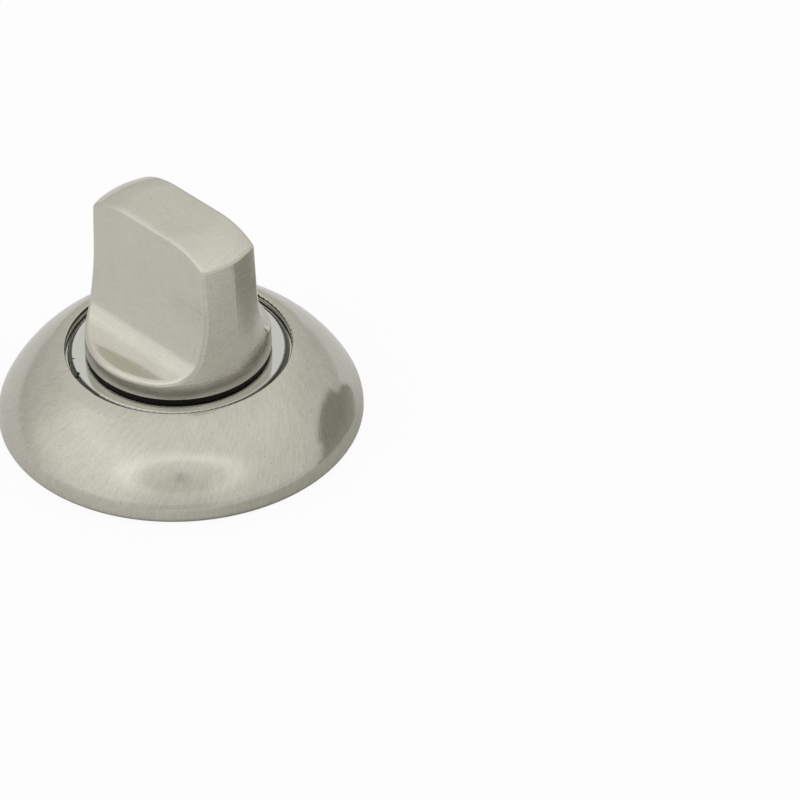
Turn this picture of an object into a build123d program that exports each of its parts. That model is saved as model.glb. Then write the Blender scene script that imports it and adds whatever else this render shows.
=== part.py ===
from build123d import *
import os
from math import asin, atan2, cos, degrees, radians, sin, sqrt, tan

# Thumb turn on a round domed rose, for a bathroom or toilet door.
# +Z points out of the door. The origin is on the axis of the turn, at the door's face.
# The blade of the knob lies along X at rest. All sizes are in millimetres.

# Rose cover: a thin domed shell that stands on the door with its foot
rose_diameter = 52.0
cover_height = 12.15
cover_wall = 1.8
foot_round = 1.05
shoulder_radius = 4.6
slope_radius = 21.3
lip_radius = 6.7
lip_angle = 12.8
lip_round = 0.2
mouth_diameter = 32.2
mouth_depth = 1.15
collar_length = 5.5
collar_wall = 1.9

# Screw thread that holds the cover on the hub of the base, as plain cylinders at its crests
thread_diameter = 31.3
thread_clearance = 0.1

# Rose base: a cast plate with a hub whose polished top shows inside the cover
base_clearance = 0.8
base_edge_chamfer = 0.4
plate_thickness = 3.0
hub_height = 11.48
hub_top_diameter = 30.4
hub_edge_round = 0.22
hub_neck_depth = 0.7
hub_foot_diameter = 29.2
hub_foot_height = 2.6

# Pockets cast into the back of the hub, with ribs between them
pocket_count = 6
pocket_rib = 2.4
pocket_depth = 8.6
boss_wall = 2.6
hub_wall = 2.0

# Two countersunk holes for the fixing screws, on a line through the axis, midway on the rim of the plate
fixing_hole_diameter = 3.8
fixing_head_diameter = 6.6
fixing_head_angle = 90.0

# Shank of the knob, which turns in a flanged plastic bush
shank_diameter = 13.0
shank_clearance = 0.06
shank_back_gap = 0.6
bush_wall = 1.5
bush_fit = 0.03
bush_flange_diameter = 25.8
bush_flange = 0.55
bush_mouth_chamfer = 0.3
rim_clearance = 0.04

# Square socket in the shank, for the spindle of the lock
socket_width = 6.2
socket_depth = 17.0
socket_chamfer = 0.4

# Knob: a turned body with a domed crown and a scoop cut into each side
rim_diameter = 26.5
rim_edge_round = 0.2
rim_thickness = 2.88
knob_height = 35.2
crown_drop = 2.4
crown_edge_diameter = 24.95
crown_flat_diameter = 12.1
blade_width_top = 9.9
blade_width_waist = 10.1
waist_rise = 10.55
scoop_face_radius = 25.0
scoop_foot_radius = 4.7
blade_edge_round = 0.85

# Retaining ring in a groove near the end of the shank
ring_land = 1.2
ring_thickness = 1.0
ring_play = 0.1
ring_groove_depth = 0.3
ring_fit = 0.02
ring_width_back = 2.0
ring_width_end = 1.2
ring_gap_angle = 52.0
ring_lug_diameter = 3.2
ring_lug_hole = 1.4

# Flat washer on the ring, and a curved spring washer between it and the base
washer_thickness = 0.6
washer_diameter = 18.4
washer_bore_clearance = 0.1
spring_thickness = 0.4
spring_height = 0.7
spring_diameter = 19.0
spring_clearance = 0.03
recess_clearance = 0.9

# Radii and heights that follow from the sizes
rose_r = rose_diameter / 2
mouth_r = mouth_diameter / 2
thread_r = thread_diameter / 2
shank_r = shank_diameter / 2
rim_r = rim_diameter / 2
bush_bore_r = shank_r + shank_clearance
bush_r = bush_bore_r + bush_wall
base_bore_r = bush_r + bush_fit
rim_z = hub_height + bush_flange + rim_clearance
shelf_z = rim_z + rim_thickness
ring_z = shank_back_gap + ring_land
washer_z = ring_z + ring_thickness
spring_z = washer_z + washer_thickness + spring_clearance
boss_z = spring_z + spring_height + spring_clearance
far = rose_diameter
plate_r = rose_r - cover_wall - base_clearance
hub_r = hub_foot_diameter / 2
fixing_r = (hub_r + plate_r) / 2


def turned(*edges):
    # One full turn about Z of the closed outline that the edges make, drawn as (radius, height)
    return revolve(Plane.XZ * make_face(edges), Axis.Z)


def disc(radius, bottom, top):
    return Pos(0, 0, bottom) * Cylinder(radius, top - bottom, align=(Align.CENTER, Align.CENTER, Align.MIN))


def rings_at(part, radius, height):
    # The round edges about the axis that have this radius and height
    rounds = part.edges().filter_by(GeomType.CIRCLE)
    return rounds.filter_by(lambda e: abs(e.radius - radius) < 1e-3 and abs(e.arc_center.Z - height) < 1e-3)


def dome_centres():
    # Centres of the dome's three arcs: shoulder and lip first, and the slope that runs into both
    angle = radians(lip_angle)
    shoulder = Vector(rose_r - shoulder_radius, foot_round)
    lip = Vector(mouth_r - lip_radius * sin(angle), cover_height - lip_radius * cos(angle))
    span = lip - shoulder
    reach, lip_reach = slope_radius - shoulder_radius, slope_radius - lip_radius
    along = (reach ** 2 - lip_reach ** 2 + span.length ** 2) / (2 * span.length)
    across = sqrt(reach ** 2 - along ** 2)
    side = span.rotate(Axis.Z, 90)
    slope = shoulder + span.normalized() * along + side.normalized() * across
    return shoulder, slope, lip


def dome_arcs(inset):
    # The dome's profile from the foot to the lip, set in from its outside by the inset
    shoulder, slope, lip = dome_centres()
    first = degrees(atan2(shoulder.Y - slope.Y, shoulder.X - slope.X))
    second = degrees(atan2(lip.Y - slope.Y, lip.X - slope.X))
    return [
        CenterArc(shoulder, shoulder_radius - inset, 0, first),
        CenterArc(slope, slope_radius - inset, first, second - first),
        CenterArc(lip, lip_radius - inset, second, 90 - lip_angle - second)]


def make_rose_cover():
    # Domed shell with a rounded foot and a threaded collar inside its mouth
    bore_r = thread_r + thread_clearance
    mouth_floor = cover_height - mouth_depth
    foot_r = rose_r - foot_round
    outside = make_face([
        Line((0, 0), (foot_r, 0)),
        CenterArc((foot_r, foot_round), foot_round, 270, 90),
        *dome_arcs(0),
        Line((mouth_r, cover_height), (mouth_r, mouth_floor)),
        Line((mouth_r, mouth_floor), (0, mouth_floor)),
        Line((0, mouth_floor), (0, 0))])
    lip = outside.vertices().filter_by(lambda v: abs(v.Y - cover_height) < 1e-6)
    outside = fillet(lip, lip_round)
    inner_arcs = dome_arcs(cover_wall)
    top = inner_arcs[-1] @ 1
    hollow = turned(
        Line((0, foot_round), inner_arcs[0] @ 0),
        *inner_arcs,
        Line(top, (0, top.Y)),
        Line((0, top.Y), (0, foot_round)))
    hollow += disc(rose_r - cover_wall, 0, foot_round)
    hollow -= disc(bore_r + collar_wall, cover_height - collar_length, cover_height)
    return revolve(Plane.XZ * outside, Axis.Z) - hollow - disc(bore_r, 0, cover_height)


def make_rose_base():
    # Plate with a hub: bored for the bush, recessed behind for the washers and ring
    recess_r = spring_diameter / 2 + recess_clearance
    thread_z = plate_thickness + hub_foot_height
    base = disc(plate_r, 0, plate_thickness) + disc(hub_r, 0, thread_z)
    base += disc(thread_r, thread_z, hub_height - hub_neck_depth)
    base += disc(hub_top_diameter / 2, thread_z, hub_height)
    base = fillet(rings_at(base, hub_top_diameter / 2, hub_height), hub_edge_round)
    base = chamfer(rings_at(base, plate_r, plate_thickness), base_edge_chamfer)
    base -= disc(base_bore_r, 0, hub_height)
    base -= disc(recess_r, 0, boss_z)
    for pocket in hub_pockets(base_bore_r + boss_wall, hub_r - hub_wall):
        base -= pocket
    for side in (-1, 1):
        base -= Pos(side * fixing_r, 0, plate_thickness) * countersunk_hole()
    return base


def hub_pockets(inner_r, outer_r):
    # Curved pockets round the boss, open at the back, with a straight rib between each two
    band = disc(outer_r, 0, pocket_depth) - disc(inner_r, 0, pocket_depth)
    for i in range(pocket_count):
        rib = Box(far, pocket_rib, far, align=(Align.MIN, Align.CENTER, Align.CENTER))
        band -= Rot(0, 0, i * 360 / pocket_count) * rib
    return band.solids()


def countersunk_hole():
    # Drill and countersink below the origin, as a solid to cut away
    hole_r = fixing_hole_diameter / 2
    head_r = fixing_head_diameter / 2
    sink = (head_r - hole_r) / tan(radians(fixing_head_angle / 2))
    below = (Align.CENTER, Align.CENTER, Align.MAX)
    return Cylinder(hole_r, plate_thickness, align=below) + Cone(hole_r, head_r, sink, align=below)


def make_bearing_bush():
    # Black plastic bush; its flange shows as a dark line under the knob
    top = hub_height + bush_flange
    bush = disc(bush_r, boss_z, hub_height) + disc(bush_flange_diameter / 2, hub_height, top)
    bush -= disc(bush_bore_r, boss_z, top)
    return chamfer(rings_at(bush, bush_bore_r, top), bush_mouth_chamfer)


def scoop(side):
    # The space cut away on one side of the blade: straight down to the waist, then a long hollow
    # that runs into a tighter one and sweeps out to a level shelf above the rim
    top = Vector(blade_width_top / 2, knob_height)
    waist = Vector(blade_width_waist / 2, shelf_z + waist_rise)
    down = (waist - top).normalized()
    face_centre = waist + down.rotate(Axis.Z, 90) * scoop_face_radius
    reach = scoop_face_radius - scoop_foot_radius
    drop = face_centre.Y - shelf_z - scoop_foot_radius
    foot_centre = Vector(face_centre.X - sqrt(reach ** 2 - drop ** 2), shelf_z + scoop_foot_radius)
    join = foot_centre + (foot_centre - face_centre).normalized() * scoop_foot_radius
    shelf = Vector(foot_centre.X, shelf_z)
    outline = make_face([
        Line(top, waist),
        TangentArc(waist, join, tangent=down),
        TangentArc(shelf, join, tangent=(-1, 0)),
        Line(shelf, (far, shelf_z)),
        Line((far, shelf_z), (far, far)),
        Line((far, far), (top.X, far)),
        Line((top.X, far), top)])
    cutter = extrude(Plane.YZ * outline, amount=far, both=True)
    return cutter if side > 0 else mirror(cutter, about=Plane.XZ)


def knob_head():
    # Turned rim, tapering side and domed crown, then a scoop on each side leaves the blade
    crown_edge = (crown_edge_diameter / 2, knob_height - crown_drop)
    crown_flat = (crown_flat_diameter / 2, knob_height)
    head = turned(
        Line((0, knob_height), (0, rim_z)),
        Line((0, rim_z), (rim_r, rim_z)),
        Line((rim_r, rim_z), crown_edge),
        TangentArc(crown_flat, crown_edge, tangent=(1, 0)),
        Line(crown_flat, (0, knob_height)))
    for side in (-1, 1):
        head -= scoop(side)
    head = fillet(head.edges().filter_by(stands_out), blade_edge_round)
    return fillet(rings_at(head, rim_r, rim_z), rim_edge_round)


def stands_out(edge):
    # True for the real edges of the blade, crown and shelves, and not for the smooth joins
    middle = edge @ 0.5
    seam = abs((edge @ 0).Y) + abs((edge @ 1).Y) < 1e-6
    scoop_join = edge.geom_type == GeomType.LINE and middle.Z < knob_height - blade_edge_round
    crown_join = abs(middle.Z - knob_height) < 1e-6 and edge.geom_type == GeomType.CIRCLE
    return middle.Z > rim_z + rim_edge_round and not (seam or scoop_join or crown_join)


def make_thumb_knob():
    # The head with its shank, the groove for the ring and the square socket
    knob = knob_head() + disc(shank_r, shank_back_gap, rim_z)
    groove = disc(shank_r, ring_z, washer_z + ring_play)
    groove -= disc(shank_r - ring_groove_depth, ring_z, washer_z + ring_play)
    knob -= groove
    above = (Align.CENTER, Align.CENTER, Align.MIN)
    socket = Box(socket_width, socket_width, socket_depth, align=above)
    mouth_width = socket_width + 2 * socket_chamfer
    mouth = loft([Rectangle(mouth_width, mouth_width),
                  Pos(0, 0, socket_chamfer) * Rectangle(socket_width, socket_width)])
    return knob - Pos(0, 0, shank_back_gap) * (socket + mouth)


def make_circlip():
    # Open spring ring, widest opposite its gap, with a lug at each end for the pliers
    inner_r = shank_r - ring_groove_depth + ring_fit
    lug_r = ring_lug_diameter / 2
    lug_centre = inner_r + lug_r
    lug_angle = ring_gap_angle / 2 + degrees(asin(lug_r / lug_centre))
    outer_r = inner_r + (ring_width_back + ring_width_end) / 2
    half_gap = radians(ring_gap_angle / 2)
    wedge = Polyline((0, 0), (far * cos(half_gap), far * sin(half_gap)),
                     (far * cos(half_gap), -far * sin(half_gap)), close=True)
    flat = Pos((ring_width_end - ring_width_back) / 2, 0) * Circle(outer_r) - make_face(wedge)
    places = [Rot(0, 0, side * lug_angle) * Pos(lug_centre, 0) for side in (-1, 1)]
    for place in places:
        flat += place * Circle(lug_r)
    flat -= Circle(inner_r)
    for place in places:
        flat -= place * Circle(ring_lug_hole / 2)
    return extrude(Pos(0, 0, ring_z) * flat, amount=ring_thickness)


def make_flat_washer():
    bore_r = shank_r + washer_bore_clearance
    return disc(washer_diameter / 2, washer_z, washer_z + washer_thickness) - disc(bore_r, washer_z, boss_z)


def make_spring_washer():
    # Ring cut from a sheet bent about X: low along its middle, high at its two sides
    outer_r = spring_diameter / 2
    rise = spring_height - spring_thickness
    bend_r = (outer_r ** 2 + rise ** 2) / (2 * rise)
    sheet = Cylinder(bend_r, far) - Cylinder(bend_r - spring_thickness, far)
    sheet = Pos(0, 0, spring_z + bend_r) * Rot(0, 90, 0) * sheet
    ring = disc(outer_r, spring_z - 1, boss_z + 1) - disc(shank_r + washer_bore_clearance, spring_z - 1, boss_z + 1)
    return ring & sheet


os.makedirs("parts", exist_ok=True)
makers = {
    "rose_cover": make_rose_cover,
    "rose_base": make_rose_base,
    "bearing_bush": make_bearing_bush,
    "thumb_knob": make_thumb_knob,
    "circlip": make_circlip,
    "flat_washer": make_flat_washer,
    "spring_washer": make_spring_washer,
}
for name, make in makers.items():
    export_step(make(), f"parts/{name}.step")
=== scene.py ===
# %% [markdown]
# A thumb turn for a bathroom door: a knob with a scooped blade on a round domed rose.
# All of its parts come ready made from the frame. This lesson gives them their finish,
# cuts the fine screw thread that shows in the gap, and sets up camera and light.

from math import cos, pi, radians, sin

import bpy
import numpy as np
from mathutils import Matrix, Vector


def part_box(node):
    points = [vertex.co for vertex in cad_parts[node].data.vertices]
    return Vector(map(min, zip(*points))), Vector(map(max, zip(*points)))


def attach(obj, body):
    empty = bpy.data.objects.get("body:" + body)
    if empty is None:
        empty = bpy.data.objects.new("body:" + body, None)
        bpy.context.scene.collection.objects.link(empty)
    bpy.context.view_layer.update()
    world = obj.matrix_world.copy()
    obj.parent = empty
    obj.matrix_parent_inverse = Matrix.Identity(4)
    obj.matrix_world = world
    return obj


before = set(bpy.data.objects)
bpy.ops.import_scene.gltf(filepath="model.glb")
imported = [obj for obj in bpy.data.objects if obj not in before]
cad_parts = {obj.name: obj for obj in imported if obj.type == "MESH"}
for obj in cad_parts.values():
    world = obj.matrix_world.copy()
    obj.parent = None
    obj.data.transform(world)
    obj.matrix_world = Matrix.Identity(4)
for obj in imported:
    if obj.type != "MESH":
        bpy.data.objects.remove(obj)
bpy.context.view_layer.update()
MM = 0.001
print("parts:", sorted(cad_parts))

# %% [markdown]
# The camera looks down on the turn at 37 degrees with a long lens from one metre away, so
# upright edges stay nearly parallel. It could be placed by eye, but here it is worked out
# from its bearing, its height angle and the point that it is aimed at. That point lies
# beside the turn, which puts the turn left of the middle. A small roll tips the frame.

# %% Camera
CAMERA_BEARING = radians(47.0)
CAMERA_RISE = radians(37.138)
CAMERA_ROLL = radians(-1.2)
CAMERA_REACH, CLIP_START = 0.99292, 0.01
AIM_RIGHT, AIM_AWAY = 31.16 * MM, 1.78 * MM
LENS, SENSOR = 313.27, 36.0

right = Vector((cos(CAMERA_BEARING), sin(CAMERA_BEARING), 0))
away = Vector((-sin(CAMERA_BEARING), cos(CAMERA_BEARING), 0))
aim = right * AIM_RIGHT + away * AIM_AWAY
back = Vector((0, 0, 1)) * sin(CAMERA_RISE) - away * cos(CAMERA_RISE)
up = back.cross(right)
rolled_right = right * cos(CAMERA_ROLL) + up * sin(CAMERA_ROLL)
rolled_up = up * cos(CAMERA_ROLL) - right * sin(CAMERA_ROLL)

camera = bpy.data.objects.new("camera", bpy.data.cameras.new("camera"))
camera.data.lens, camera.data.sensor_width = LENS, SENSOR
camera.data.clip_start = CLIP_START
camera.matrix_world = Matrix.Translation(aim + back * CAMERA_REACH) @ Matrix(
    (rolled_right, rolled_up, back)).transposed().to_4x4()
bpy.context.scene.collection.objects.link(camera)
bpy.context.scene.camera = camera
bpy.context.scene.view_settings.view_transform = "Standard"
print("camera at", tuple(round(c, 3) for c in camera.matrix_world.translation))

# %% [markdown]
# Finishes are sums written with nodes. Wiring them one at a time is slow to read, so one
# small class stands for a socket, and plain arithmetic on it adds the Math nodes. Anything
# that isn't arithmetic comes from its node method.


# %% A socket that does arithmetic
class Sock:
    """An output socket of a node tree: sums, differences and products of it are Math nodes."""

    def __init__(self, tree, socket=None):
        self.tree, self.socket = tree, socket

    def node(self, kind, settings=None, sockets=None, output=0):
        """Adds a node: its settings first, then values or links for its input sockets."""
        made = self.tree.nodes.new(kind)
        for name, value in (settings or {}).items():
            setattr(made, name, value)
        for name, value in (sockets or {}).items():
            if isinstance(value, Sock):
                self.tree.links.new(value.socket, made.inputs[name])
            else:
                made.inputs[name].default_value = value
        return Sock(self.tree, made.outputs[output] if made.outputs else None)

    def math(self, operation, *values):
        """A Math node for any operation, on sockets and plain numbers."""
        return self.node("ShaderNodeMath", {"operation": operation}, dict(enumerate(values)))

    def __add__(self, other):
        return self.math("ADD", self, other)

    def __sub__(self, other):
        return self.math("SUBTRACT", self, other)

    def __mul__(self, other):
        return self.math("MULTIPLY", self, other)

    def __rsub__(self, other):
        return self.math("SUBTRACT", other, self)

    def __abs__(self):
        return self.math("ABSOLUTE", self)

    __radd__, __rmul__ = __add__, __mul__

    def hypot(self, other):
        """The length of an arrow with these two parts."""
        return self.math("SQRT", self * self + other * other)

    def step(self, low, high):
        """0 below low, 1 above high and a smooth rise between them."""
        return self.node("ShaderNodeMapRange", {"interpolation_type": "SMOOTHSTEP"},
                         {"Value": self, "From Min": low, "From Max": high})

    def tint(self, *ends):
        """The colour that lies this far from the first end to the second; each end is a
        colour or a socket."""
        first, second = (end if isinstance(end, Sock) else (*end, 1) for end in ends)
        return self.node("ShaderNodeMix", {"data_type": "RGBA"}, {0: self, 6: first, 7: second}, output=2)


print("methods of a socket:", [name for name, value in vars(Sock).items() if callable(value)])

# %% [markdown]
# Every finish starts alike: an empty node tree, the point on the object in millimetres,
# and noise at that point. It ends alike too, in one shader with a shallow relief. A UV map
# could carry the pattern, but the parts have none, and Object coordinates turn with the
# knob just as well.


# %% How each finish starts and ends
def material(name):
    """A new material with an empty tree, and a socket wrapper to build in it."""
    made = bpy.data.materials.new(name)
    made.use_nodes = True
    made.node_tree.nodes.clear()
    return made, Sock(made.node_tree)


def millimetres(sock):
    """The point on the object in millimetres, as a vector and as its three parts."""
    point = sock.node("ShaderNodeTexCoord", output="Object")
    point = sock.node("ShaderNodeVectorMath", {"operation": "SCALE"}, {0: point, "Scale": 1 / MM})
    return point, [sock.node("ShaderNodeSeparateXYZ", None, {0: point}, part) for part in "XYZ"]


def vector(x, y, z):
    """A vector from three parts, the first of them a socket."""
    return x.node("ShaderNodeCombineXYZ", None, {"X": x, "Y": y, "Z": z})


def noise(point, scale=1.0, detail=2.0):
    """Soft noise about 0.5, with scale patches to each unit of the point."""
    return point.node("ShaderNodeTexNoise", None, {"Vector": point, "Scale": scale, "Detail": detail})


def sharp_noise(point, scale=1.0, detail=2.0):
    """The same noise pushed apart, so that it reaches 0 and 1."""
    return noise(point, scale, detail).step(0.3, 0.7)


def surface(sock, height, depth, **sockets):
    """Metal or plastic shader whose relief is height times depth in millimetres."""
    relief = sock.node("ShaderNodeBump", None, {"Height": height, "Distance": depth * MM})
    shader = sock.node("ShaderNodeBsdfPrincipled", None, {"Normal": relief, **sockets})
    sock.node("ShaderNodeOutputMaterial", None, {"Surface": shader})


print("finishes are measured in millimetres,", round(1 / MM), "to a metre")

# %% [markdown]
# Brushed plate shows strokes, which are noise that is fine across them and long along
# them. Straight strokes need turned coordinates in plan. Strokes that run outwards round a
# dome need an angle round the axis, and let it drift with the distance from the axis where
# they lean. An image of scratches would do the same, but it would stretch at the foot and
# repeat. Plate also has a few pits and bright specks, the rare peaks of a finer noise.

# %% Strokes and specks of brushed plate
DOME_RADIUS = 21.0


def strokes_straight(sock, along, width, length):
    """Noise whose patches are length long along a direction in plan and width across it."""
    _, (x, y, z) = millimetres(sock)
    return sharp_noise(vector((y * along.x - x * along.y) * (1 / width),
                              (x * along.x + y * along.y) * (1 / length), z * (1 / length)))


def strokes_round(sock, lean, width, length):
    """Noise on (cos a, sin a, r / length), where a is the angle round the axis plus lean times
    the radius; at the dome's usual radius its patches are width wide."""
    _, (x, y, z) = millimetres(sock)
    radius = x.hypot(y)
    angle = sock.math("ARCTAN2", y, x) + radius * lean
    spread = DOME_RADIUS / width
    return sharp_noise(vector(sock.math("COSINE", angle) * spread, sock.math("SINE", angle) * spread,
                              (radius - z) * (1 / length)))


def pits(point):
    """Sparse dots: the highest peaks of a fine noise."""
    return noise(point, 3.0, 0.0).step(0.76, 0.82)


def glints(point):
    """Sparse dots again, the deepest hollows of another noise."""
    return (1 - noise(point, 3.7, 0.0)).step(0.74, 0.82)


def facing(sock, axis):
    """How far the surface faces along an axis of the world, from -1 to 1."""
    normal = sock.node("ShaderNodeNewGeometry", output="Normal")
    return sock.node("ShaderNodeSeparateXYZ", None, {0: normal}, axis)


print("strokes are as wide as told", DOME_RADIUS, "mm from the axis")

# %% [markdown]
# The rose's cover is satin nickel: plate that was brushed by hand before its last coat.
# Some strokes run outwards and lean round the dome, others run straight over it, and a
# soft patchwork picks between the two, with more straight ones at the right. Hand work
# also leaves very shallow waves, which bend the reflections, and a few pits. The wall
# inside the mouth carries painted shade and is rougher. Low on the foot, a painted
# shadow darkens the plate where it meets the floor.

# %% Satin nickel of the cover
NICKEL_DARK, NICKEL_LIGHT = (0.455, 0.443, 0.39), (0.615, 0.6, 0.53)
# painted shade: colours for the wall inside the mouth and for the shadow low on the foot
MOUTH_SHADE_COLOUR, FOOT_SHADE_COLOUR = (0.13, 0.12, 0.1), (0.24, 0.23, 0.2)
MOUTH_RADIUS, FOOT_TOP = 16.1, 1.1
STROKE_LEAN = 0.022
BROAD_LEAN = STROKE_LEAN * 1.6
STRAIGHT_STROKES = away
LEANING_SIZE, STRAIGHT_SIZE, BROAD_SIZE = (0.13, 0.8), (0.11, 0.9), (0.45, 3.0)
COVER_GRAIN, COVER_WAVES, COVER_PATCHWORK = 4.5, 0.25, 0.12
COVER_RELIEF = 0.005


def satin_cover():
    """Plate whose colour, relief and gloss all follow its fine strokes, the broader ones
    among them and its waves."""
    made, sock = material("satin_nickel_cover")
    point, (x, y, z) = millimetres(sock)
    to_the_right = (x * right.x + y * right.y) * 0.03
    straight = (to_the_right + noise(point, COVER_PATCHWORK) - 0.1).step(0.3, 0.6)
    fine = strokes_round(sock, STROKE_LEAN, *LEANING_SIZE) * (1 - straight)
    fine = fine + strokes_straight(sock, STRAIGHT_STROKES, *STRAIGHT_SIZE) * straight
    fine = fine * 0.7 + sharp_noise(point, COVER_GRAIN, 1.0) * 0.3
    broad = strokes_round(sock, BROAD_LEAN, *BROAD_SIZE)
    waves = noise(point, COVER_WAVES)
    # painted shade on the wall inside the mouth, which is also a little rougher
    in_mouth = 1 - x.hypot(y).step(MOUTH_RADIUS, MOUTH_RADIUS + 0.05)
    shaded_mouth_wall = in_mouth * (1 - facing(sock, "Z").step(0.2, 0.5))
    # painted shadow: the lowest part of the foot is darkened where it meets the floor
    foot = 1 - z.step(0.0, FOOT_TOP)
    brushed = fine * 0.5 + broad * 0.25 + waves * 0.25
    plate = (brushed - pits(point) * 0.8).tint(NICKEL_DARK, NICKEL_LIGHT)
    surface(sock, fine * 0.5 + broad * 0.3 + waves * 2.0, COVER_RELIEF, **{
        "Base Color": foot.tint(shaded_mouth_wall.tint(plate, MOUTH_SHADE_COLOUR), FOOT_SHADE_COLOUR),
        "Metallic": 1.0, "Roughness": 0.09 + fine * 0.09 + shaded_mouth_wall * 0.2})
    return made


print("cover strokes lean", STROKE_LEAN, "radians to a millimetre, or run along",
      [round(c, 2) for c in STRAIGHT_STROKES.xy])

# %% [markdown]
# The knob is the same plate, but it was brushed along its blade and round its ends, so its
# strokes lie level. Noise that is fine in height and long sideways gives them on every
# upright face. The scoops and the crown are worked along the blade, so a second noise is
# fine across the blade there. Polishing rubs the crown's long edges dull, and a mask takes
# them by the way they face: neither out nor up, but between. The upright edges between
# the scoops and the ends are found the same way, and carry a line of painted shade. The
# rim is duller, and it is painted darker as well, as painted shade.

# %% Satin nickel of the knob
KNOB_LOW, KNOB_HIGH = (0.522, 0.504, 0.45), (0.696, 0.676, 0.602)
CROWN_FOOT, RIM_TOP = 27.0, 15.0
ALONG_STROKES, ACROSS_LEVEL, ACROSS_BLADE = 0.4, 6.0, 5.0
KNOB_GRAIN, KNOB_WAVES = 4.0, 0.3
KNOB_RELIEF = 0.0045


def satin_knob():
    """Level strokes on the ends and strokes along the blade elsewhere, with masks for the
    crown's edges, the upright edges and the rim."""
    made, sock = material("satin_nickel_knob")
    point, (x, y, z) = millimetres(sock)
    endwise, sidewise = abs(facing(sock, "X")), abs(facing(sock, "Y"))
    ends = endwise.step(0.3, 0.7)
    level = sharp_noise(vector(x * ALONG_STROKES, y * ALONG_STROKES, z * ACROSS_LEVEL))
    along = noise(vector(x * ALONG_STROKES, y * ACROSS_BLADE, z * ACROSS_BLADE))
    grain = sharp_noise(point, KNOB_GRAIN, 1.0)
    waves = noise(point, KNOB_WAVES)
    brushed = (level * 0.5 + grain * 0.5) * ends + (along * 0.75 + grain * 0.25) * (1 - ends)
    edge = sidewise.step(0.15, 0.4) * (1 - sidewise.step(0.9, 0.99)) * z.step(CROWN_FOOT, CROWN_FOOT + 2)
    # painted shade: a darker line down the upright edges between the scoops and the ends
    upright = endwise.step(0.2, 0.45) * (1 - endwise.step(0.65, 0.85)) * sidewise.step(0.3, 0.5)
    upright = upright * z.step(RIM_TOP, RIM_TOP + 1) * (1 - z.step(CROWN_FOOT - 3, CROWN_FOOT + 3))
    # the rim is rougher, and its colour is darkened as painted shade
    rim = 1 - z.step(RIM_TOP - 1.0, RIM_TOP - 0.1)
    colour = brushed * 0.6 + waves * 0.4 + glints(point) * 0.8 - pits(point) - upright * 0.7 - rim * 0.4
    roughness = 0.12 + brushed * 0.1 + rim * 0.16 + edge * (0.1 + grain * 0.14)
    surface(sock, brushed * (0.8 + ends * 1.1) + waves * 2.0, KNOB_RELIEF, **{
        "Base Color": colour.tint(KNOB_LOW, KNOB_HIGH), "Metallic": 1.0, "Roughness": roughness})
    return made


print("the knob's rim ends at", RIM_TOP, "mm and its crown starts at", CROWN_FOOT, "mm")

# %% [markdown]
# Inside the cover the top of the hub shows as a polished ring. A lathe leaves very fine
# circles on it, which noise along the radius gives. Below its top the hub is dull and is
# coloured nearly black as painted shade, so the gap round the ring looks black. Screwing
# the cover on has nicked the ring's edge in two places: each nick is a dark mark at one
# angle that starts at a distance from the axis.

# %% Polished ring
HUB_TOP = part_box("rose_base")[1][2] / MM
HUB_EDGE = 15.0
RING_DARK, RING_BRIGHT, GAP_SHADE_COLOUR = (0.46, 0.46, 0.435), (0.8, 0.8, 0.765), (0.05, 0.048, 0.042)
RING_RELIEF = 0.0006
NICKS = [(-125.0, 14.7, 0.10), (-111.5, 14.85, 0.28)]


def nick(point, angle, radius, place):
    """1 within half a width of an angle, from a start outwards, with a ragged edge."""
    at, start, half = place
    aside = abs((angle - radians(at)) * radius + noise(point, 4.0) * 0.4 - 0.2)
    return (1 - aside.step(half * 0.7, half * 1.3)) * radius.step(start, start + 0.1)


def polished_hub():
    """Bright lathe circles on the top, worn at the edge and nicked, over dull painted shade below it."""
    made, sock = material("polished_hub")
    point, (x, y, z) = millimetres(sock)
    radius = x.hypot(y)
    angle = sock.math("ARCTAN2", y, x)
    circles = noise(vector(radius * 7.0, z * 2.0, 0.0))
    marks = [nick(point, angle, radius, place) for place in NICKS]
    # painted shade: below its top the hub is coloured nearly black for the shadow in the gap; the nicks
    # share its mask
    gap_shade = 1 - z.step(HUB_TOP - 0.9, HUB_TOP - 0.45)
    dull = sock.math("MAXIMUM", gap_shade, sum(marks[1:], marks[0]))
    worn = radius.step(HUB_EDGE, HUB_EDGE + 0.1)
    shine = (circles * (1 - worn * 0.4)).tint(RING_DARK, RING_BRIGHT)
    surface(sock, circles, RING_RELIEF, **{
        "Base Color": dull.tint(shine, GAP_SHADE_COLOUR), "Metallic": 1.0,
        "Roughness": 0.06 + circles * 0.05 + worn * 0.45 + dull * 0.35})
    return made


print("the ring's top is at", round(HUB_TOP, 2), "mm, with", len(NICKS), "nicks")

# %% [markdown]
# The dark line under the knob is the flange of its bush, moulded in black nylon. It is
# matt, with a fine grain from the mould. Plain black would look like a hole, so a little
# of the grain shows in its colour and in its gloss.

# %% Black nylon of the bush
NYLON_DARK, NYLON_LIGHT = (0.002, 0.002, 0.0015), (0.01, 0.009, 0.008)
MOULD_GRAIN, NYLON_RELIEF = 12.0, 0.01


def black_nylon():
    """Plastic with a low gloss that the mould's grain breaks up."""
    made, sock = material("black_nylon")
    point, _ = millimetres(sock)
    grain = noise(point, MOULD_GRAIN)
    surface(sock, grain, NYLON_RELIEF, **{
        "Base Color": grain.tint(NYLON_DARK, NYLON_LIGHT),
        "Roughness": 0.4 + grain * 0.2, "Specular IOR Level": 0.12})
    return made


print("the bush's grain has", MOULD_GRAIN, "patches to a millimetre")

# %% [markdown]
# Two washers and a retaining ring are closed in behind the base, so no view shows them.
# Whoever lifts the part out of the library can see them, though. They are stamped from
# rolled sheet, which leaves drawn-out marks, so one function serves all three: dark oiled
# steel for the ring, spring steel and zinc plate for the washers.

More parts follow.
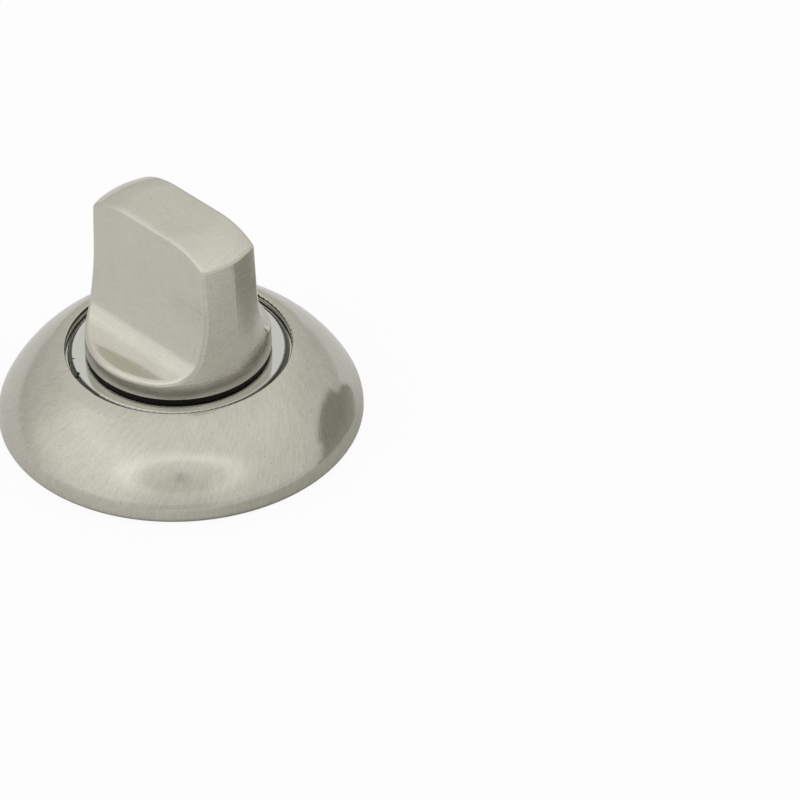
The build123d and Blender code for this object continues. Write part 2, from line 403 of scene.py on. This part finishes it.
# %% Steel of the hidden rings
STEELS = {
    "spring_washer": ("spring_steel", (0.3, 0.3, 0.32), (0.45, 0.45, 0.47), 0.3),
    "flat_washer": ("zinc_steel", (0.45, 0.46, 0.48), (0.62, 0.63, 0.65), 0.25),
    "circlip": ("dark_steel", (0.05, 0.05, 0.055), (0.14, 0.14, 0.15), 0.35),
}
STEEL_RELIEF = 0.004


def rolled_steel(name, dark, light, roughness):
    """Steel with the drawn-out marks of a rolled sheet, which lie along X."""
    made, sock = material(name)
    _, (x, y, z) = millimetres(sock)
    rolled = noise(vector(x * 0.5, y * 6.0, z * 6.0))
    surface(sock, rolled, STEEL_RELIEF, **{
        "Base Color": rolled.tint(dark, light), "Metallic": 1.0, "Roughness": roughness + rolled * 0.15})
    return made


print("steel rings:", sorted(STEELS))

# %% [markdown]
# The cover is screwed onto the hub, and both threads show in the gap as thin bright lines:
# the first turns inside the cover's mouth and the first crest on the hub. A thread could be
# cut with a screw modifier, but its ends need care. Here it is a ridge worked out on a
# grid: one parameter runs along the helix, the other round a small diamond that is half
# sunk in the wall, and its size fades at both ends.

# %% Thread leads
THREADS = {
    "thread_lead": {"radius": MOUTH_RADIUS, "top": 11.62, "half": 0.085,
                    "pitch": 0.32, "turns": 1.7, "start": -20},
    "hub_thread": {"radius": 15.6, "top": 11.1, "half": 0.13,
                   "pitch": 0.2, "turns": 1.2, "start": -43},
}
THREAD_STEPS, DIAMOND_CORNERS = 420, 4
FADING_SHARE, THINNEST_SHARE = 0.05, 0.1


def mesh_object(name, points, faces, finish):
    """A mesh object at the origin from an array of points and lists of corners."""
    mesh = bpy.data.meshes.new(name)
    mesh.from_pydata(points.tolist(), [], faces)
    mesh.materials.append(finish)
    made = bpy.data.objects.new(name, mesh)
    bpy.context.scene.collection.objects.link(made)
    return made


def wrapped_grid(rows, columns):
    """Faces between neighbours on a grid of points, whose last column meets its first."""
    i, j = np.meshgrid(np.arange(rows - 1), np.arange(columns), indexing="ij")
    below, k = i + 1, (j + 1) % columns
    return np.stack([columns * i + j, columns * below + j,
                     columns * below + k, columns * i + k], -1).reshape(-1, 4)


def thread_lead(name, finish):
    """At t from 0 to 1 the angle is start + turns * t, and the height falls by a pitch a turn.
    Corner s of the diamond lies cos(s) out and sin(s) up from there, times its size."""
    cut = THREADS[name]
    t = np.linspace(0, 1, THREAD_STEPS)[:, None]
    corner = np.arange(DIAMOND_CORNERS) * pi / 2
    size = cut["half"] * np.clip(np.minimum(t, 1 - t) / FADING_SHARE, THINNEST_SHARE, 1)
    turn = radians(cut["start"]) + 2 * pi * cut["turns"] * t
    radius = cut["radius"] + size * np.cos(corner)
    z = cut["top"] - cut["pitch"] * cut["turns"] * t + size * np.sin(corner)
    points = np.stack([radius * np.cos(turn), radius * np.sin(turn), z], -1).reshape(-1, 3) * MM
    first = np.arange(DIAMOND_CORNERS)
    last = DIAMOND_CORNERS * THREAD_STEPS - 1 - first
    faces = wrapped_grid(THREAD_STEPS, DIAMOND_CORNERS).tolist() + [first.tolist(), last.tolist()]
    return mesh_object(name, points, faces, finish)


print("threads fall by", [cut["pitch"] for cut in THREADS.values()], "mm a turn")

# %% [markdown]
# Each part of the frame has a slot for its finish. Filling the slots changes no shape, so
# the parts stay as they were built. The threads are pieces of this scene alone: they ride
# with the rose, so they stand still when the knob turns, and each shares the finish of the
# part that it is cut on.

# %% Give each part its finish
finishes = {
    "rose_cover": satin_cover(),
    "thumb_knob": satin_knob(),
    "rose_base": polished_hub(),
    "bearing_bush": black_nylon(),
}
for node, steel in STEELS.items():
    finishes[node] = rolled_steel(*steel)
for node, finish in finishes.items():
    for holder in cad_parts[node].material_slots:
        holder.material = finish
for name, node, slot in (("thread_lead", "rose_cover", "satin_cover"),
                         ("hub_thread", "rose_base", "plated_base")):
    lead = thread_lead(name, finishes[node])
    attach(lead, "rose")
    print(name, "has", len(lead.data.polygons), "faces")
print("finished", len(finishes), "parts")

# %% [markdown]
# Metal has hardly any colour of its own: it shows the room. The photograph was taken in a
# white tent with soft lights. Each could be a lamp, but a lamp's outline shows hard in
# polished plate. The world's colour by direction makes the same lights with soft edges and
# no noise. Directions are told by a bearing from the camera and a height, in degrees.

# %% Directions in the tent
world = bpy.data.worlds.new("tent")
world.use_nodes = True
world.node_tree.nodes.clear()
tent_nodes = Sock(world.node_tree)
direction = tent_nodes.node("ShaderNodeTexCoord", output="Generated")


def towards(axis):
    """Cosine of the angle between the direction and an axis."""
    return direction.node("ShaderNodeVectorMath", {"operation": "DOT_PRODUCT"},
                          {0: direction, 1: axis}, output="Value")


def in_degrees(operation, *values):
    """The angle that an inverse function gives, in degrees."""
    return direction.math("DEGREES", direction.math(operation, *values))


height = in_degrees("ARCSINE", towards(Vector((0, 0, 1))))
bearing = in_degrees("ARCTAN2", towards(right), towards(-away))
from_lens = in_degrees("ARCCOSINE", towards(back))
print("directions take", len(world.node_tree.nodes), "nodes")

# %% [markdown]
# The tent itself is brightest overhead and on the camera's side, and dimmest at the back.
# Low down it is darker all round, like the skirt of a real tent, and it has an opening for
# the camera. One plain white would do for a matt thing, but plate without such steps in
# its surroundings looks like plastic.

# %% The tent
TENT_TOP, TENT_TOP_FRONT, TENT_FRONT, TENT_BACK = 0.90, 0.99, 0.87, 0.73
TENT_COLOUR, SEEN_COLOUR = (0.99, 1.0, 0.955), (1, 1, 1)
OPENING, OPENING_SHADE = (0, 0, 16, 38, 8), 0.12
SKIRT_SHADE = 0.19


def window(bearing_deg, height_deg, half_wide, half_tall, soft):
    """1 inside a window of the tent, 0 outside it, with an edge this soft."""
    aside = abs(bearing - bearing_deg)
    above = abs(height - height_deg)
    return (1 - aside.step(half_wide - soft, half_wide + soft)) * (
        1 - above.step(half_tall - soft, half_tall + soft))


front = towards(-away).step(-0.7, 0.3)
overhead = height.step(20, 50)
walls = TENT_BACK + front * (TENT_FRONT - TENT_BACK)
roof = TENT_TOP + front * (TENT_TOP_FRONT - TENT_TOP)
skirt = 1 - height.step(-6, 20)
tent = walls * (1 - overhead) + roof * overhead
tent = tent * (1 - window(*OPENING) * OPENING_SHADE) * (1 - skirt * SKIRT_SHADE)
print("tent from", TENT_BACK, "behind to", TENT_TOP_FRONT, "overhead")

# %% [markdown]
# Two lights stand out in it: a soft box at the left, and an oval ring of light round the
# lens, whose own dark dot shows in the dome. To the camera itself the world is plain
# white, so these lights are seen only where something mirrors them or is lit by them.

# %% Lights of the tent
LEFT_BOX, LEFT_LIGHT = (-68, 29, 38, 24, 14), 0.19
RING_WIDE, RING_TALL, RING_LIGHT = 25, 12, 0.28
LENS_HALF_ANGLE, LENS_SOFT, LENS_SHADE = 4.0, 0.5, 0.32


def light_path(sock, *outputs):
    """1 for a ray of any of these kinds, else 0."""
    kinds = [sock.node("ShaderNodeLightPath", output=f"Is {name} Ray") for name in outputs]
    return sum(kinds[1:], kinds[0])


def from_middle(axis, half_angle):
    """How far a direction lies from the lens along an axis, where the ring's half is 1."""
    return towards(axis) * (1 / sin(radians(half_angle)))


oval = from_middle(right, RING_WIDE).hypot(from_middle(up, RING_TALL))
ring_light = oval.step(0.95, 1.12) * (1 - oval.step(1.2, 1.75))
ring_light = ring_light * towards(back).step(0, 0.2) * height.step(12, 34)
lens = 1 - from_lens.step(LENS_HALF_ANGLE - LENS_SOFT, LENS_HALF_ANGLE + LENS_SOFT)
tent = tent * (1 - lens * LENS_SHADE) + ring_light * RING_LIGHT + window(*LEFT_BOX) * LEFT_LIGHT
seen = light_path(tent_nodes, "Camera")
sky = tent_nodes.node("ShaderNodeBackground", None, {
    "Color": seen.tint(TENT_COLOUR, SEEN_COLOUR), "Strength": tent * (1 - seen) + seen})
tent_nodes.node("ShaderNodeOutputWorld", None, {"Surface": sky})
bpy.context.scene.world = world
print("the ring spans", 2 * RING_WIDE, "by", 2 * RING_TALL, "degrees")

# %% [markdown]
# The floor is white paper. To the camera it is mostly its own white, so the picture's
# ground stays clean, and a share of lit paper keeps the soft shadow at the foot. The metal
# mirrors it too, with more of the lit paper, because the ground darkens close to the foot.
# At the right it is greyer in the mirror: a painted shade where the dish of the next step stands.

# %% Floor
FLOOR_HALF, FLOOR_DROP = 2.0, 0.02 * MM
PAPER_CLEAN, PAPER_SHADED = (0.8, 0.79, 0.815, 1), (0.56, 0.555, 0.535, 1)
PAPER_SEEN, PAPER_MIRRORED = 0.93, 0.10
SHADE_RIGHT, SHADE_AWAY, SHADE_INNER, SHADE_OUTER = 34, -22, 14, 44


def white_paper():
    """Paper lit by the tent, with painted shade at the right in mirrors and a share of its own white."""
    made, sock = material("white_paper")
    seen = light_path(sock, "Camera")
    mirrored = light_path(sock, "Glossy", "Transmission")
    _, (x, y, _) = millimetres(sock)
    # painted shade on the paper at the right, seen only in mirrors
    centre = right * SHADE_RIGHT + away * SHADE_AWAY
    shade = 1 - (x - centre.x).hypot(y - centre.y).step(SHADE_INNER, SHADE_OUTER)
    clean = sock.node("ShaderNodeBsdfDiffuse", None, {"Color": PAPER_CLEAN})
    shaded = sock.node("ShaderNodeBsdfDiffuse", None, {"Color": PAPER_SHADED})
    lit = sock.node("ShaderNodeMixShader", None, {0: shade * mirrored, 1: clean, 2: shaded})
    glow = sock.node("ShaderNodeEmission", None, {"Color": (1, 1, 1, 1), "Strength": 1.0})
    share = seen * PAPER_SEEN + (1 - seen) * mirrored * PAPER_MIRRORED
    mixed = sock.node("ShaderNodeMixShader", None, {0: share, 1: lit, 2: glow})
    sock.node("ShaderNodeOutputMaterial", None, {"Surface": mixed})
    return made


corners = np.array([(-1, -1), (1, -1), (1, 1), (-1, 1)]) * FLOOR_HALF
mesh_object("floor", np.c_[corners, np.full(4, -FLOOR_DROP)], [[0, 1, 2, 3]], white_paper())
print("floor", 2 * FLOOR_HALF, "m wide")

# %% [markdown]
# Bright metal looks flat until it has something darker to mirror. A grey dish with a lid
# stands at the right, out of the camera's sight: it lays a dark patch on the dome and a
# dark stripe down the end of the blade. A dark lamp can't be had, and a dark patch in the
# tent would lie as far off as the sky and miss the dome. The dish is a plain grey glow,
# and its foot is painted lighter, standing in for the light that paper would throw on it.

# %% Grey dish
DISH_RIGHT, DISH_AWAY = 63 * MM, 5 * MM
DISH_RADIUS, DISH_HEIGHT = 25 * MM, 12.5 * MM
LID_RADIUS, LID_HEIGHT = 16 * MM, 20 * MM
BEVEL_WIDTH, BEVEL_DEPTH, LID_MIDDLE = 9 * MM, 5 * MM, 0.001 * MM
DISH_GREY, DISH_FOOT_GREY = (0.325, 0.32, 0.293), (0.44, 0.435, 0.4)
DISH_STEPS, BALL_STEPS = 64, 16


def dish_grey():
    """A plain glow, so that nothing lights or shades the dish: grey, with painted light at its foot."""
    made, sock = material("grey_dish")
    _, (_, _, z) = millimetres(sock)
    glow = sock.node("ShaderNodeEmission", None, {
        "Color": (1 - z.step(-2, 7)).tint(DISH_GREY, DISH_FOOT_GREY)})
    sock.node("ShaderNodeOutputMaterial", None, {"Surface": glow})
    return made


def dish():
    """A lathe turn of a profile: a flattened ball, radius cos(a) and height sin(a), up to the
    lid's radius, then the lid's wall, its bevel and its flat top."""
    rise = np.linspace(0, np.arccos(LID_RADIUS / DISH_RADIUS), BALL_STEPS)
    lid_radii = [LID_RADIUS, LID_RADIUS - BEVEL_WIDTH, LID_MIDDLE]
    lid_heights = [LID_HEIGHT - BEVEL_DEPTH, LID_HEIGHT, LID_HEIGHT]
    radius = np.r_[DISH_RADIUS * np.cos(rise), lid_radii][:, None]
    z = np.r_[DISH_HEIGHT * np.sin(rise), lid_heights][:, None]
    turn = np.linspace(0, 2 * pi, DISH_STEPS, endpoint=False)
    centre = right * DISH_RIGHT + away * DISH_AWAY
    points = np.stack([radius * np.cos(turn) + centre.x, radius * np.sin(turn) + centre.y,
                       z * np.ones_like(turn)], -1).reshape(-1, 3)
    faces = wrapped_grid(len(radius), DISH_STEPS)[:, ::-1]
    return mesh_object("grey_dish", points, faces.tolist(), dish_grey())


made = dish()
made.visible_camera = made.visible_diffuse = made.visible_shadow = False
print("dish", round(DISH_RADIUS / MM), "mm in radius at the right, out of sight")

# %% [markdown]
